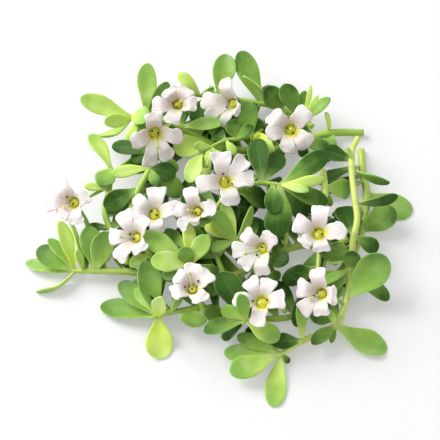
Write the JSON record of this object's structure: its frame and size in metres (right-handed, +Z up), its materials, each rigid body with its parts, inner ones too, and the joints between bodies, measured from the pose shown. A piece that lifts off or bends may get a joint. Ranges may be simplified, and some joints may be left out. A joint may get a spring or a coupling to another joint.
{
  "type": "bacopa monnieri bunch",
  "caption": "Cut bunch of creeping water hyssop lying down: tangled pale stems, fleshy spoon-shaped leaves and small white flowers.",
  "frame": {"origin": "middle of the bunch's box, on the surface that it lies on", "axes": "+Z up from the surface, +X to the right and +Y away from the viewer of the picture"},
  "size_m": [0.0986, 0.0974, 0.0221],
  "materials": {
    "leaf": "satin, fleshy and smooth",
    "stem": "satin, pale yellow-green",
    "petal": "matt, thin and faintly veined"
  },
  "bodies": {
    "root": {"back_runner": "stem", "centre_shoot": "stem", "far_right_stem": "stem", "front_shoot": "stem", "inner_left_branch": "stem", "inner_shoot": "stem", "left_runner": "stem", "lower_branch": "stem", "middle_shoot": "stem", "right_runner": "stem", "short_cut_stem": "stem", "top_branch": "stem", "young_shoot": "stem", "upper_left_branch": "stem", "leaf_01": "leaf", "leaf_02": "leaf", "leaf_03": "leaf", "leaf_04": "leaf", "leaf_05": "leaf", "leaf_06": "leaf", "leaf_07": "leaf", "leaf_08": "leaf", "leaf_09": "leaf", "leaf_10": "leaf", "leaf_11": "leaf", "leaf_12": "leaf", "leaf_13": "leaf", "leaf_14": "leaf", "leaf_15": "leaf", "leaf_16": "leaf", "leaf_17": "leaf", "leaf_18": "leaf", "leaf_19": "leaf", "leaf_20": "leaf", "leaf_21": "leaf", "leaf_22": "leaf", "leaf_23": "leaf", "leaf_24": "leaf", "leaf_25": "leaf", "leaf_26": "leaf", "leaf_27": "leaf", "leaf_28": "leaf", "leaf_29": "leaf", "leaf_30": "leaf", "leaf_31": "leaf", "leaf_32": "leaf", "flower_01": "petal", "flower_02": "petal", "flower_03": "petal", "flower_04": "petal", "flower_05": "petal", "flower_06": "petal", "flower_07": "petal", "flower_08": "petal", "flower_09": "petal", "flower_10": "petal", "flower_11": "petal", "flower_12": "petal", "flower_13": "petal", "flower_14": "petal"}
  },
  "joints": []
}
